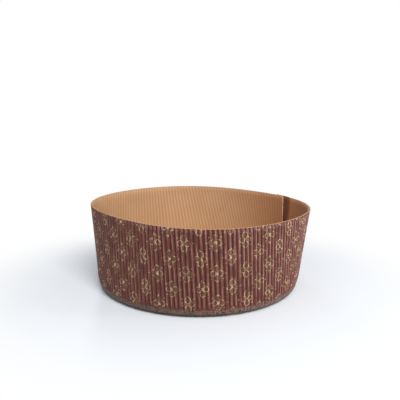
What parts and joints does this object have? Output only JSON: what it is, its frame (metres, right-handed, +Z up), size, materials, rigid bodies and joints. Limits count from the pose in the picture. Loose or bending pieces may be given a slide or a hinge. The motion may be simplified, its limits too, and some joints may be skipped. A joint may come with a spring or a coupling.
{
  "type": "panettone baking mold",
  "caption": "Low round paper baking mold: flared wall of fluted paper with a lapped seam, foot folded inward as a flange, flat board disc inside.",
  "frame": {"origin": "on the surface that the mold stands on, at the middle of its outline", "axes": "+Z up through the open mouth, -Y toward the viewer of the picture, the seam at 25 degrees from +X toward +Y"},
  "size_m": [0.1866, 0.1838, 0.068],
  "materials": {
    "printed_fluted_paper": "dark red-brown print with pale gold four-petal ornaments outside, plain tan kraft liner inside",
    "plain_board": "matte tan kraft board"
  },
  "bodies": {
    "root": {"side_wall": "printed_fluted_paper", "base_disc": "plain_board"}
  },
  "joints": []
}
